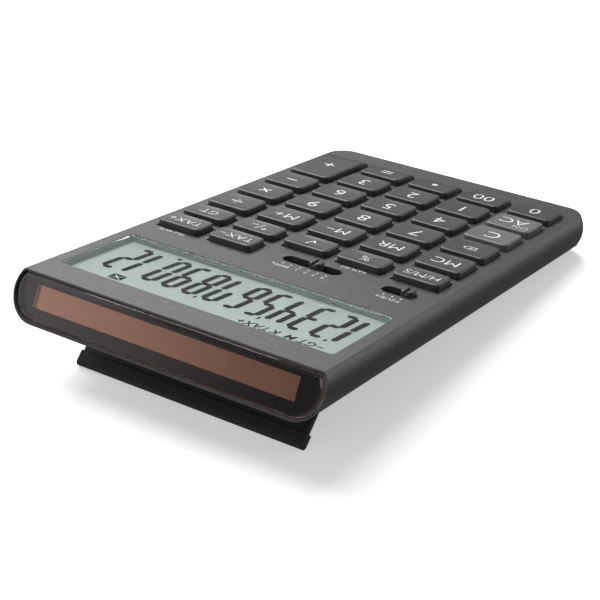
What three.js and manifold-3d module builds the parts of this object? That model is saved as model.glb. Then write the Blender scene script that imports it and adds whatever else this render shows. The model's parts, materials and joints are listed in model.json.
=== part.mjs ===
// Desk calculator, twelve digits, solar and button-cell power, with a fold-out stand.
//
// Millimetres. The case is drawn flat first, in the case frame: X to the user's right, Y from the
// user's edge towards the display end, Z up from the underside of the case. The whole case is then
// turned about X by TILT, so that the front feet and the open stand both touch Z = 0.

import * as THREE from 'three';
import { mergeVertices } from 'three/addons/utils/BufferGeometryUtils.js';
import Module from 'manifold-3d';

const wasm = await Module();
wasm.setup();

// ---------------------------------------------------------------- driving dimensions
const DEG = Math.PI / 180;
const CLEAR = 0.15; // running clearance between separate pieces

// Case: a flat top and two round sides, the same section all along Y
const SIDE_RADIUS = 8.65; // radius of the round sides
const SIDE_CENTRE_X = 44.2; // where the centre of that round is
const SIDE_CENTRE_Z = 8.7;
const TOP = 14.35; // height of the flat top
const WALL = 1.9;
const PARTING = 2.4; // height of the line between upper and lower case
const FLOOR = 1.8; // top of the lower case's floor
const CORNER_RADIUS = 9; // front corners, seen from above
const EDGE_ROUND = 1; // front top edge
const REAR_TOP_EDGE = 177.5; // where the flat top ends at the rear
const REAR_LEAN = 20 * DEG; // the rear face leans out towards its foot

// Keys
const COLUMN_PITCH = 19.5;
const ROW_PITCH = 16.9;
const FRONT_ROW_REAR_EDGE = 26.7; // rear edge of the keys in the front row
const KEY_WIDTH = 15.8;
const KEY_DEPTH = 13.4;
const SMALL_KEY_DEPTH = 9.6;
const SMALL_ROW_STEP = 13.7; // from the last full row to the first row of small keys
const TOP_ROW_STEP = 12.9;
const KEY_CORNER = 1.7;
const KEY_BEVEL = 0.45;
const KEY_TOP = 16.5;
const KEY_GAP = 0.3; // round each key in its hole
const FLANGE = 0.8; // the lip under the case top that keeps the key in
const FLANGE_TOP = TOP - 2 - 0.25;
const FLANGE_BOTTOM = FLANGE_TOP - 1;
const PLUNGER_BOTTOM = 9.9;
const KEY_FLAT_LENGTH = 7.5; // the front row is flat over this much, then rolls down
const KEY_ROLL_DROP = 1.3;

// Display
const DISPLAY_Y = 150.2;
const WINDOW_WIDTH = 93.7;
const WINDOW_DEPTH = 33.8;
const WINDOW_CORNER = 1.6;
const LENS_TOP = TOP - 0.15;
const LENS_BOTTOM = LENS_TOP - 0.9;
const HOLDER_TOP = LENS_BOTTOM - 0.1;
const HOLDER_FLANGE = TOP - 2.1; // the holder's flange lies under the case top
const LCD_TOP = 11.9;
const LCD_THICKNESS = 1.9;
const HOLDER_BOTTOM = 8.7;

// Slide switches: rest place, slot centre and slot length along X
const SWITCH_Y = 115.8;
const SLOT_WIDTH = 5.2;
const SWITCHES = {
  decimal: { rest: -9.8, slotCentre: -8.3, slotLength: 20.4 },
  rounding: { rest: -41.4, slotCentre: -38.4, slotLength: 11.4 },
};
const KNOB_LENGTH = 4.2;
const KNOB_TOP = 16.1;

// Circuit board and rubber key mat
const BOARD_BOTTOM = 5.3;
const BOARD_TOP = 6.5;
const BOARD_HALF_WIDTH = 45.5;
const BOARD_FRONT = 11.8;
const MAT_BOTTOM = BOARD_TOP + CLEAR;
const MAT_TOP = MAT_BOTTOM + 0.8;
const DOME_TOP = 8.2;
const MAT_REAR = 121;

// Stand
const TILT = 5.8 * DEG;
const HINGE_Y = 150.5;
const HINGE_Z = 2.4;
const STAND_LEAN = 38.5 * DEG; // open stand, back from square to the case
const STAND_WIDTH = 78.8;
const STAND_THICKNESS = 2;
const BARREL_RADIUS = 1.25;
const PIN_RADIUS = 0.95;
const FOOT_RADIUS = 1.5;
const FOOT_LENGTH = 4.6;
const FOOT_OVERHANG = 0.5; // past the leaf at both ends
const BAY_HALF_WIDTH = 40.3; // the bay under the case that the stand folds into
const BAY_FRONT = 124.5;
const BAY_REAR = 153.9;
const BAY_ROOF = 4.1;
const BAY_WALL = 0.8;

// Feet and screws
const FOOT_PAD_RADIUS = 4;
const FOOT_PAD_DROP = 1.2;
const FOOT_PAD_BEVEL = 0.25;
const FRONT_FEET_Y = 10;
const SCREWS = [[-40, 7.6], [40, 7.6], [-44, 126], [44, 126]];
const BOSS_RADIUS = 2.4;
const FEET = [
  ['front_left', -30, FRONT_FEET_Y], ['front_right', 30, FRONT_FEET_Y],
  ['rear_left', -37, 167], ['rear_right', 37, 167],
];

// Battery
const CELL = { x: 3.5, y: 166.4, radius: 5.8, bottom: 2.4, height: 5.4 };
const DOOR = { x0: -12.5, x1: 10.5, y0: 158.6, y1: 174.2 };
const DOOR_SCREW_X = -8.9;

// ---------------------------------------------------------------- materials
function finish(color, roughness, metalness = 0, extra = {}) {
  return new THREE.MeshStandardMaterial({ color, roughness, metalness, ...extra });
}
const CASE_PLASTIC = finish(0x55544f, 0.55);
const KEY_PLASTIC = finish(0x4a4a48, 0.5);
const CLEAR_KEY_PLASTIC = finish(0x7c7c78, 0.5);
const BLACK_PLASTIC = finish(0x101010, 0.6);
const TINTED_ACRYLIC = finish(0x241d1e, 0.08);
const CLEAR_ACRYLIC = finish(0xdfe8e4, 0.05, 0, { transparent: true, opacity: 0.3 });
const SOLAR_FILM = finish(0x8a6a58, 0.3);
const LCD_GLASS = finish(0xb4c0b9, 0.2);
const HOLDER_PLASTIC = finish(0xa9b3ad, 0.6);
const BOARD_LAMINATE = finish(0x2f5b3a, 0.6);
const SILICONE = finish(0xb8b8b4, 0.7);
const RUBBER = finish(0x161616, 0.85);
const STEEL = finish(0x9a9a98, 0.35, 0.9);
const BRASS = finish(0xb59a5a, 0.4, 0.9);
const FLEX_FILM = finish(0xc89b4a, 0.5);

// ---------------------------------------------------------------- solids
// A closed geometry as a manifold solid, and back again.
function solid(geometry) {
  const bare = geometry.index ? geometry.toNonIndexed() : geometry.clone();
  bare.deleteAttribute('normal');
  bare.deleteAttribute('uv');
  const merged = mergeVertices(bare, 1e-4);
  return new wasm.Manifold(new wasm.Mesh({
    numProp: 3,
    vertProperties: new Float32Array(merged.attributes.position.array),
    triVerts: new Uint32Array(merged.index.array),
  }));
}

function geometryOf(manifold) {
  const mesh = manifold.getMesh();
  const geometry = new THREE.BufferGeometry();
  geometry.setAttribute('position', new THREE.BufferAttribute(mesh.vertProperties, 3));
  geometry.setIndex(new THREE.BufferAttribute(mesh.triVerts, 1));
  geometry.computeVertexNormals();
  return geometry;
}

const join = (first, ...others) => others.reduce((sum, part) => sum.add(part), first);
const cut = (first, ...others) => others.reduce((rest, part) => rest.subtract(part), first);

function block(x0, x1, y0, y1, z0, z1) {
  const geometry = new THREE.BoxGeometry(x1 - x0, y1 - y0, z1 - z0);
  geometry.translate((x0 + x1) / 2, (y0 + y1) / 2, (z0 + z1) / 2);
  return solid(geometry);
}

// An upright cylinder or cone.
function post(x, y, z0, z1, radius, sides = 16, topRadius = radius) {
  const geometry = new THREE.CylinderGeometry(topRadius, radius, z1 - z0, sides);
  geometry.rotateX(Math.PI / 2);
  geometry.translate(x, y, (z0 + z1) / 2);
  return solid(geometry);
}

// A profile of radius and height, turned about an upright axis.
function turned(x, y, profile, sides) {
  const geometry = new THREE.LatheGeometry(profile.map(([r, z]) => new THREE.Vector2(r, z)), sides);
  geometry.rotateX(Math.PI / 2);
  geometry.translate(x, y, 0);
  return solid(geometry);
}

// A cylinder lying along X.
function rodAlongX(x0, x1, y, z, radius, sides = 16) {
  const geometry = new THREE.CylinderGeometry(radius, radius, x1 - x0, sides);
  geometry.rotateZ(Math.PI / 2);
  geometry.translate((x0 + x1) / 2, y, z);
  return solid(geometry);
}

function roundedRectangle(x, y, width, depth, radius) {
  const shape = new THREE.Shape();
  const [left, right, front, rear] = [x - width / 2, x + width / 2, y - depth / 2, y + depth / 2];
  shape.moveTo(left + radius, front);
  shape.absarc(right - radius, front + radius, radius, -Math.PI / 2, 0);
  shape.absarc(right - radius, rear - radius, radius, 0, Math.PI / 2);
  shape.absarc(left + radius, rear - radius, radius, Math.PI / 2, Math.PI);
  shape.absarc(left + radius, front + radius, radius, Math.PI, 1.5 * Math.PI);
  shape.closePath();
  return shape;
}

// A plan outline raised from z0 to z1.
function slab(shape, z0, z1, steps = 4, bevel = 0) {
  const geometry = new THREE.ExtrudeGeometry(shape, {
    depth: z1 - z0 - 2 * bevel,
    curveSegments: steps,
    bevelEnabled: bevel > 0,
    bevelSize: bevel,
    bevelThickness: bevel,
    bevelOffset: -bevel,
    bevelSegments: 1,
  });
  geometry.translate(0, 0, z0 + bevel);
  return solid(geometry);
}

// An outline drawn in X and Z, run along Y.
function runAlongY(shape, y0, y1, steps) {
  const geometry = new THREE.ExtrudeGeometry(shape, {
    depth: y1 - y0, curveSegments: steps, bevelEnabled: false,
  });
  geometry.rotateX(Math.PI / 2);
  geometry.translate(0, y1, 0);
  return solid(geometry);
}

// An outline drawn in Y and Z, run along X.
function runAlongX(shape, x0, x1, steps = 4) {
  const geometry = new THREE.ExtrudeGeometry(shape, {
    depth: x1 - x0, curveSegments: steps, bevelEnabled: false,
  });
  geometry.applyMatrix4(new THREE.Matrix4().makeBasis(
    new THREE.Vector3(0, 1, 0), new THREE.Vector3(0, 0, 1), new THREE.Vector3(1, 0, 0)));
  geometry.translate(x0, 0, 0);
  return solid(geometry);
}

function polygon(points) {
  return new THREE.Shape(points.map(([a, b]) => new THREE.Vector2(a, b)));
}

// A thin strip of even thickness along a bent line, as an outline.
function strip(points, thickness) {
  const offset = (sign) => points.map(([a, b], i) => {
    const before = points[Math.max(i - 1, 0)];
    const after = points[Math.min(i + 1, points.length - 1)];
    const length = Math.hypot(after[0] - before[0], after[1] - before[1]);
    const across = sign * thickness / 2 / length;
    return [a - (after[1] - before[1]) * across, b + (after[0] - before[0]) * across];
  });
  return polygon([...offset(-1), ...offset(1).reverse()]);
}

const caseGroup = new THREE.Group();
caseGroup.name = 'case_frame';

function place(name, manifold, material, parent = caseGroup) {
  const mesh = new THREE.Mesh(geometryOf(manifold), material);
  mesh.name = name;
  parent.add(mesh);
}

// ---------------------------------------------------------------- case section and rear face
// The case's cross-section, set in by a distance: two round sides under a flat top.
function caseSection(inset) {
  const radius = SIDE_RADIUS - inset;
  const crease = Math.asin((TOP - inset - SIDE_CENTRE_Z) / radius);
  const shape = new THREE.Shape();
  shape.moveTo(-SIDE_CENTRE_X, SIDE_CENTRE_Z - radius);
  shape.absarc(SIDE_CENTRE_X, SIDE_CENTRE_Z, radius, -Math.PI / 2, crease);
  shape.absarc(-SIDE_CENTRE_X, SIDE_CENTRE_Z, radius, Math.PI - crease, 1.5 * Math.PI);
  shape.closePath();
  return shape;
}

// Everything more than `depth` behind the leaning rear face, as a big block to cut with.
function behindRearFace(depth) {
  const geometry = new THREE.BoxGeometry(140, 60, 80);
  geometry.translate(0, 30 - depth, 0);
  geometry.rotateX(REAR_LEAN);
  geometry.translate(0, REAR_TOP_EDGE, TOP);
  return solid(geometry);
}

function casePlan(inset) {
  const halfWidth = SIDE_CENTRE_X + SIDE_RADIUS - inset;
  const radius = CORNER_RADIUS - inset;
  const shape = new THREE.Shape();
  shape.moveTo(halfWidth, 200);
  shape.lineTo(-halfWidth, 200);
  shape.lineTo(-halfWidth, inset + radius);
  shape.absarc(-halfWidth + radius, inset + radius, radius, Math.PI, 1.5 * Math.PI);
  shape.absarc(halfWidth - radius, inset + radius, radius, 1.5 * Math.PI, 2 * Math.PI);
  shape.closePath();
  return shape;
}

const caseOutside = cut(
  runAlongY(caseSection(0), -5, 195, 12).intersect(slab(casePlan(0), 0, TOP, 8, EDGE_ROUND)),
  behindRearFace(0));
const caseInside = runAlongY(caseSection(WALL), WALL, 195, 8)
  .intersect(slab(casePlan(WALL), FLOOR, TOP - 2, 6));
const windowSeat = runAlongY(caseSection(0.5), 150, 195, 12).intersect(behindRearFace(2.3));

// ---------------------------------------------------------------- keys
// Rows count from the display end; columns from the user's left.
const rowRearEdge = [];
for (let row = 6; row >= 2; row -= 1) {
  rowRearEdge[row] = FRONT_ROW_REAR_EDGE + (6 - row) * ROW_PITCH;
}
rowRearEdge[1] = rowRearEdge[2] + SMALL_ROW_STEP;
rowRearEdge[0] = rowRearEdge[1] + TOP_ROW_STEP;

const KEY_NAMES = [
  [null, null, null, 'tax_minus', 'tax_plus'],
  ['time', 'percent', 'root', 'sign', 'grand_total'],
  ['memory_clear', 'memory_recall', 'memory_minus', 'memory_plus', 'divide'],
  ['backspace', '7', '8', '9', 'times'],
  ['clear', '4', '5', '6', 'minus'],
  ['all_clear', '1', '2', '3', 'plus'],
  ['0', '00', 'point', 'equals', null],
];

const keys = [];
KEY_NAMES.forEach((names, row) => names.forEach((name, column) => {
  if (name === null) return;
  const rear = rowRearEdge[row];
  const tall = name === 'plus';
  const depth = row < 2 ? SMALL_KEY_DEPTH : KEY_DEPTH + (tall ? ROW_PITCH : 0);
  keys.push({
    name: `key_${name}`,
    x: (column - 2) * COLUMN_PITCH,
    y: rear - depth / 2,
    depth,
    front: rear - depth,
    rolls: tall || row === 6,
    material: name === 'clear' || name === 'all_clear' ? CLEAR_KEY_PLASTIC : KEY_PLASTIC,
  });
}));

// What is left over a key that rolls down at its front edge, as a block to cut away.
function overRoll(key) {
  const start = key.front + KEY_DEPTH - KEY_FLAT_LENGTH;
  const fall = KEY_DEPTH - KEY_FLAT_LENGTH;
  const points = [[key.front - 1, KEY_TOP + 1]];
  for (let i = 6; i >= 0; i -= 1) {
    const t = i / 6;
    points.push([start - t * fall * 1.05, KEY_TOP - KEY_ROLL_DROP * t * t]);
  }
  points.push([start, KEY_TOP + 1]);
  return runAlongX(polygon(points), key.x - KEY_WIDTH, key.x + KEY_WIDTH);
}

function keySolid(key) {
  const outline = roundedRectangle(key.x, key.y, KEY_WIDTH, key.depth, KEY_CORNER);
  let cap = slab(outline, FLANGE_BOTTOM + 0.2, KEY_TOP, 2, KEY_BEVEL);
  if (key.rolls) cap = cut(cap, overRoll(key));
  const half = KEY_WIDTH / 2 + FLANGE;
  const halfDepth = key.depth / 2 + FLANGE;
  const lip = block(key.x - half, key.x + half, key.y - halfDepth, key.y + halfDepth,
    FLANGE_BOTTOM, FLANGE_TOP);
  const hollow = block(key.x - half + 2.2, key.x + half - 2.2,
    key.y - halfDepth + 2.2, key.y + halfDepth - 2.2, FLANGE_BOTTOM - 1, KEY_TOP - 2.9);
  const plunger = block(key.x - 1.6, key.x + 1.6, key.y - 1.6, key.y + 1.6,
    PLUNGER_BOTTOM, KEY_TOP - 2);
  return join(cut(join(cap, lip), hollow), plunger);
}

for (const key of keys) place(key.name, keySolid(key), key.material);

// ---------------------------------------------------------------- upper case
function keyHole(key) {
  const halfWidth = KEY_WIDTH / 2 + KEY_GAP;
  const halfDepth = key.depth / 2 + KEY_GAP;
  return block(key.x - halfWidth, key.x + halfWidth, key.y - halfDepth, key.y + halfDepth,
    TOP - 3, TOP + 1);
}

function slotHole(name) {
  const { slotCentre, slotLength } = SWITCHES[name];
  const outline = roundedRectangle(slotCentre, SWITCH_Y, slotLength, SLOT_WIDTH,
    SLOT_WIDTH / 2 - 0.01);
  return slab(outline, TOP - 3, TOP + 1, 4);
}

const windowOutline = (grow) => roundedRectangle(
  0, DISPLAY_Y, WINDOW_WIDTH + 2 * grow, WINDOW_DEPTH + 2 * grow, WINDOW_CORNER + grow);

// Posts between the keys press the rubber mat onto the circuit board.
const HOLD_DOWNS = [];
for (const x of [-1.5, -0.5, 0.5, 1.5]) {
  for (const row of [2, 4]) {
    HOLD_DOWNS.push([x * COLUMN_PITCH, rowRearEdge[row] - KEY_DEPTH - (ROW_PITCH - KEY_DEPTH) / 2]);
  }
}

function upperCase() {
  let shell = cut(caseOutside, caseInside, windowSeat, block(-70, 70, -10, 200, -5, PARTING + 0.1));
  for (const [x, y] of SCREWS) {
    shell = join(shell, post(x, y, FLOOR + 1, TOP - 1, BOSS_RADIUS, 12));
    shell = cut(shell, post(x, y, FLOOR, 9.5, 1.15, 8));
  }
  for (const [x, y] of HOLD_DOWNS) shell = join(shell, post(x, y, MAT_TOP + 0.1, TOP - 1, 0.8, 6));
  const holes = [...keys.map(keyHole), slotHole('decimal'), slotHole('rounding'),
    slab(windowOutline(0), TOP - 3, TOP + 1, 4)];
  return cut(shell, ...holes);
}
place('upper_case', upperCase(), CASE_PLASTIC);

// ---------------------------------------------------------------- lower case
// Places where the floor props up the circuit board.
const PROPS = [];
for (const x of [-34, 0, 34]) {
  for (const y of [20, 66, 112]) PROPS.push([x, y]);
}

function lowerCase() {
  let shell = cut(
    caseOutside.intersect(block(-70, 70, -10, 200, -5, PARTING - 0.05)),
    caseInside, windowSeat);
  // Ribs just inside the parting line, which place the upper case.
  for (const side of [-1, 1]) {
    const [inner, outer] = [side * 45, side * 46.1].sort((a, b) => a - b);
    shell = join(shell, block(inner, outer, 16, 120, FLOOR - 0.5, 4));
  }
  for (const [x, y] of PROPS) shell = join(shell, post(x, y, FLOOR - 0.5, BOARD_BOTTOM - 0.1, 1.8, 8));
  // The stand's bay: walls and roof, then its hollow and the holes for the stand's pins.
  const [bayX, bayFront, bayRear] = [BAY_HALF_WIDTH + BAY_WALL, BAY_FRONT - BAY_WALL, BAY_REAR + BAY_WALL];
  shell = join(shell, block(-bayX, bayX, bayFront, bayRear, 0.2, BAY_ROOF + BAY_WALL));
  shell = cut(shell, block(-BAY_HALF_WIDTH, BAY_HALF_WIDTH, BAY_FRONT, BAY_REAR, -5, BAY_ROOF));
  shell = cut(shell, rodAlongX(-bayX - 1, bayX + 1, HINGE_Y, HINGE_Z, PIN_RADIUS + 0.2, 12));
  // The battery box, open above for its contacts and closed below by the door.
  const boxLeft = CELL.x - 7.4;
  shell = join(shell, cut(
    block(boxLeft - 1.2, DOOR.x1 + 1.4, DOOR.y0 - 1.2, DOOR.y1 + 1.2, FLOOR - 0.5, 8.2),
    block(boxLeft, DOOR.x1 + 0.2, DOOR.y0 + 0.2, DOOR.y1 - 0.2, FLOOR - 1, 9)));
  shell = join(shell, block(DOOR.x0 - 1.5, boxLeft, DOOR.y0 - 1.2, DOOR.y1 + 1.2, FLOOR - 0.5, 3.6));
  shell = cut(shell, block(DOOR.x0 - 0.15, DOOR.x1 + 0.15, DOOR.y0 - 0.15, DOOR.y1 + 0.15, -5, FLOOR + 0.1));
  shell = cut(shell, post(DOOR_SCREW_X, CELL.y, FLOOR, 5, 0.85, 8));
  for (const [x, y] of SCREWS) {
    shell = join(shell, post(x, y, FLOOR - 0.5, FLOOR + 0.85, 3, 12));
    shell = cut(shell, post(x, y, -5, 1.25, 2.1, 12), post(x, y, 0, 5, 1.15, 8));
  }
  for (const [, x, y] of FEET) shell = cut(shell, post(x, y, -5, 0.5, FOOT_PAD_RADIUS + 0.2, 16));
  return shell;
}

place('lower_case', lowerCase(), CASE_PLASTIC);

// ---------------------------------------------------------------- solar end
place('solar_window',
  cut(runAlongY(caseSection(0.65), 150, 195, 12).intersect(behindRearFace(2.15)), behindRearFace(0)),
  TINTED_ACRYLIC);

const solarCell = new THREE.Mesh(new THREE.BoxGeometry(90.4, 1.1, 8), SOLAR_FILM);
solarCell.name = 'solar_cell';
const leaning = new THREE.Group();
leaning.position.set(0, REAR_TOP_EDGE, TOP);
leaning.rotation.x = REAR_LEAN;
solarCell.position.set(0, -2.15 - CLEAR - 0.55, -7.6);
leaning.add(solarCell);
caseGroup.add(leaning);

// ---------------------------------------------------------------- display
place('display_lens', slab(windowOutline(-CLEAR), LENS_BOTTOM, LENS_TOP, 4), CLEAR_ACRYLIC);

const frameBlock = (grow, z0, z1) => block(
  -WINDOW_WIDTH / 2 - grow, WINDOW_WIDTH / 2 + grow,
  DISPLAY_Y - WINDOW_DEPTH / 2 - grow, DISPLAY_Y + WINDOW_DEPTH / 2 + grow, z0, z1);
const LCD_BOTTOM = LCD_TOP - LCD_THICKNESS;
// The holder lines the window below the lens and steps in above the glass.
place('lcd_holder', cut(
  join(frameBlock(2.8, HOLDER_BOTTOM, HOLDER_FLANGE),
    slab(windowOutline(-0.2), HOLDER_BOTTOM, HOLDER_TOP, 4)),
  slab(windowOutline(-0.7), HOLDER_FLANGE, 20, 4),
  frameBlock(-1.5, 0, 20),
  frameBlock(1.8, 0, LCD_TOP + 0.1)), HOLDER_PLASTIC);
place('lcd_panel', frameBlock(1.65, LCD_BOTTOM, LCD_TOP), LCD_GLASS);

const ribbonPath = [
  [121.6, 6.75], [124.2, 6.8], [127.5, 7.4], [131.4, 8.2], [132.8, 9.2], [134, 9.7], [136, 9.75]];
place('lcd_ribbon', runAlongX(strip(ribbonPath, 0.25), -31, 31), FLEX_FILM);

// ---------------------------------------------------------------- board, mat, switches
const boardPlan = polygon([
  [-BOARD_HALF_WIDTH, BOARD_FRONT], [BOARD_HALF_WIDTH, BOARD_FRONT], [BOARD_HALF_WIDTH, 122],
  [40.5, 122], [40.5, 124.4], [-40.5, 124.4], [-40.5, 122], [-BOARD_HALF_WIDTH, 122],
]);
const chip = slab(roundedRectangle(12, 100, 14, 14, 4), BOARD_BOTTOM - 1.2, BOARD_BOTTOM + 0.2, 2);
place('circuit_board', join(slab(boardPlan, BOARD_BOTTOM, BOARD_TOP), chip), BOARD_LAMINATE);

function keyMat() {
  let mat = cut(
    block(-BOARD_HALF_WIDTH, BOARD_HALF_WIDTH, 12, MAT_REAR, MAT_BOTTOM, MAT_TOP),
    block(-22, 6, 110.8, 130, 0, 20),
    block(-60, -29.5, 110.8, 130, 0, 20));
  for (const key of keys) {
    const reach = Math.min(4.2, key.depth / 2 - 0.7);
    mat = join(mat, post(key.x, key.y, MAT_TOP - 0.3, DOME_TOP, reach, 10, 2.2));
  }
  return mat;
}
place('key_mat', keyMat(), SILICONE);

for (const [name, { rest }] of Object.entries(SWITCHES)) {
  const stem = roundedRectangle(rest, SWITCH_Y, KNOB_LENGTH, SLOT_WIDTH - 0.5, 1.9);
  const groove = block(rest - 0.6, rest + 0.6, SWITCH_Y - 5, SWITCH_Y + 5, KNOB_TOP - 0.9, KNOB_TOP + 1);
  const shoe = block(rest - 3.9, rest + 3.9, SWITCH_Y - 4, SWITCH_Y + 4, 10.9, FLANGE_TOP);
  place(`${name}_switch_knob`, join(cut(slab(stem, 11, KNOB_TOP, 3, 0.3), groove), shoe), KEY_PLASTIC);
  const blade = strip([[rest - 3.2, 10.65], [rest - 1.6, 10.65], [rest + 0.4, 8], [rest + 1.6, 6.8],
    [rest + 2.4, 7.4]], 0.25);
  place(`${name}_switch_wiper`, runAlongY(blade, SWITCH_Y - 2.5, SWITCH_Y + 2.5), BRASS);
}

// ---------------------------------------------------------------- battery
place('button_cell', post(CELL.x, CELL.y, CELL.bottom, CELL.bottom + CELL.height, CELL.radius, 24), STEEL);
const doorScrewHole = post(DOOR_SCREW_X, CELL.y, -5, 5, 1.1, 8);
const doorScrewSeat = post(DOOR_SCREW_X, CELL.y, -5, 0.9, 1.9, 12);
place('battery_door', cut(
  block(DOOR.x0, DOOR.x1, DOOR.y0, DOOR.y1, 0.1, FLOOR - 0.05), doorScrewHole, doorScrewSeat), CASE_PLASTIC);
place('battery_contact_minus', block(CELL.x - 6.9, CELL.x + 4, CELL.y - 2, CELL.y + 2, 7.95, 8.15), STEEL);
const plusX = CELL.x + CELL.radius + 0.35;
place('battery_contact_plus', block(plusX, plusX + 0.3, CELL.y - 3, CELL.y + 3, 2.2, 8.1), STEEL);

// ---------------------------------------------------------------- screws and feet
function screw(x, y, head, top, headRadius, shankRadius, shankTop) {
  return cut(
    join(post(x, y, head, top, headRadius, 12), post(x, y, top - 0.2, shankTop, shankRadius, 8)),
    block(x - 0.9, x + 0.9, y - 0.22, y + 0.22, head - 1, head + 0.35),
    block(x - 0.22, x + 0.22, y - 0.9, y + 0.9, head - 1, head + 0.35));
}
SCREWS.forEach(([x, y], i) => {
  place(`case_screw_${i + 1}`, screw(x, y, 0.3, 1.15, 1.9, 0.95, 8.5), STEEL);
});
place('battery_door_screw', screw(DOOR_SCREW_X, CELL.y, 0.2, 0.8, 1.7, 0.7, 3.4), STEEL);

FEET.forEach(([corner, x, y]) => {
  const pad = turned(x, y, [[0, -FOOT_PAD_DROP], [FOOT_PAD_RADIUS - FOOT_PAD_BEVEL, -FOOT_PAD_DROP],
    [FOOT_PAD_RADIUS, FOOT_PAD_BEVEL - FOOT_PAD_DROP], [FOOT_PAD_RADIUS, 0.4], [0, 0.4]], 20);
  place(`rubber_foot_${corner}`, pad, RUBBER);
});

// ---------------------------------------------------------------- stand
// Height above the desk of a point of the case frame, once the case is tilted.
const sinTilt = Math.sin(TILT);
const cosTilt = Math.cos(TILT);
const heightOf = (y, z) => y * sinTilt + z * cosTilt;
const deskHeight = heightOf(FRONT_FEET_Y - FOOT_PAD_RADIUS + FOOT_PAD_BEVEL, -FOOT_PAD_DROP);

// The stand is as long as it must be for its round foot to reach the desk.
const STAND_LENGTH = (heightOf(HINGE_Y, HINGE_Z) - deskHeight - FOOT_RADIUS) / Math.cos(STAND_LEAN + TILT);

// The stand is drawn hanging straight down from its hinge, then leaned back.
const stand = new THREE.Group();
stand.position.set(0, HINGE_Y, HINGE_Z);
stand.rotation.x = STAND_LEAN;
caseGroup.add(stand);

const halfStand = STAND_WIDTH / 2;
const footTop = -STAND_LENGTH - FOOT_RADIUS + FOOT_LENGTH;
const leaf = block(-halfStand, halfStand, -STAND_THICKNESS / 2, STAND_THICKNESS / 2, footTop + CLEAR, 0);
const tongue = block(-halfStand + 2, halfStand - 2, -0.5, 0.5, footTop - 2.6, footTop + 1);
place('tilt_stand', join(
  leaf, tongue,
  rodAlongX(-halfStand, halfStand, 0, 0, BARREL_RADIUS, 16),
  rodAlongX(-BAY_HALF_WIDTH - BAY_WALL, BAY_HALF_WIDTH + BAY_WALL, 0, 0, PIN_RADIUS, 12)),
BLACK_PLASTIC, stand);

function standFoot() {
  const end = new THREE.Shape();
  end.moveTo(FOOT_RADIUS, footTop);
  end.lineTo(-FOOT_RADIUS, footTop);
  end.absarc(0, -STAND_LENGTH, FOOT_RADIUS, Math.PI, 2 * Math.PI);
  end.closePath();
  const groove = block(-halfStand + 1.85, halfStand - 1.85, -0.65, 0.65, footTop - 2.75, footTop + 2);
  return cut(runAlongX(end, -halfStand - FOOT_OVERHANG, halfStand + FOOT_OVERHANG, 12), groove);
}
place('stand_foot', standFoot(), RUBBER, stand);

// ---------------------------------------------------------------- stand it on the desk
caseGroup.rotation.x = TILT;

const calculator = new THREE.Group();
calculator.name = 'desk_calculator';
calculator.add(caseGroup);
calculator.updateMatrixWorld(true);
const box = new THREE.Box3().setFromObject(calculator, true);
caseGroup.position.set(0, -(box.min.y + box.max.y) / 2, -box.min.z);
calculator.updateMatrixWorld(true);

export default calculator;
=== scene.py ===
# %% [markdown]
# # A desk calculator, finished in Blender
#
# The imported CAD frame already says how big every part is and how it moves. This lesson builds the
# visible surfaces around it: the moulded case, thirty-one keys with printed legends, the display, the
# tinted solar window and the fold-out stand. First the frame is loaded.

import json
import math

import bmesh
import bpy
import numpy as np
from mathutils import Matrix, Vector

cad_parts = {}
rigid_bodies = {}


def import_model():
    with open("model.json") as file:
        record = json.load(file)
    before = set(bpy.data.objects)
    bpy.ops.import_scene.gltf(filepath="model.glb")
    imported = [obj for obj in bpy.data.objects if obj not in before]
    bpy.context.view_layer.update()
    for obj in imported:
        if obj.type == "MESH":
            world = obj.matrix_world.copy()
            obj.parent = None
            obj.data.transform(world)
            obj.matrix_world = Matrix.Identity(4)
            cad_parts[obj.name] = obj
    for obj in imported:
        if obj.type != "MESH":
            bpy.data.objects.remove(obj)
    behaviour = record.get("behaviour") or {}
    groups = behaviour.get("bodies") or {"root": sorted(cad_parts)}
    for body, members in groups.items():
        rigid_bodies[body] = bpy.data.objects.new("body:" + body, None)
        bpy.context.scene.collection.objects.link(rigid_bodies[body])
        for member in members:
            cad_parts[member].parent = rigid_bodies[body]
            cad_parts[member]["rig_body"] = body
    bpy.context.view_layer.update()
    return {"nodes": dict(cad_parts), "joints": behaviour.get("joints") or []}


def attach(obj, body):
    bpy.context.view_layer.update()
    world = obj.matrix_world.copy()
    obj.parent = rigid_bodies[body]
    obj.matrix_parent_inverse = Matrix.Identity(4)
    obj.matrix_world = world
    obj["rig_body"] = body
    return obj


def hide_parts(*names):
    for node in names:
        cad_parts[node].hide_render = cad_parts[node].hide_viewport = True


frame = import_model()

# %% [markdown]
# ## Camera
#
# The calculator is seen from behind its display end, a little from the user's left, with a longish
# lens. A camera could be turned by hand until it looks right, but a place, a point to look at and a
# small roll say the same thing in three lines that can be read again.

# %% Camera
CAMERA_PLACE = Vector((-0.2131, 0.36009, 0.21755))
CAMERA_TARGET = Vector((-0.01093, 0.0341, 0.020))
CAMERA_ROLL = math.radians(2.06)
CAMERA_LENS = 86.96


def add_camera():
    """A camera that looks from its place to its target, then rolls about its own line of sight."""
    data = bpy.data.cameras.new("camera")
    data.lens = CAMERA_LENS
    data.sensor_width = 36
    data.clip_start = 0.01
    camera = bpy.data.objects.new("camera", data)
    bpy.context.scene.collection.objects.link(camera)
    aim = (CAMERA_TARGET - CAMERA_PLACE).to_track_quat("-Z", "Y").to_matrix()
    turn = aim @ Matrix.Rotation(CAMERA_ROLL, 3, "Z")
    camera.matrix_world = Matrix.Translation(CAMERA_PLACE) @ turn.to_4x4()
    bpy.context.scene.camera = camera


add_camera()
print("camera looks from", tuple(round(v, 3) for v in CAMERA_PLACE))

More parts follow.
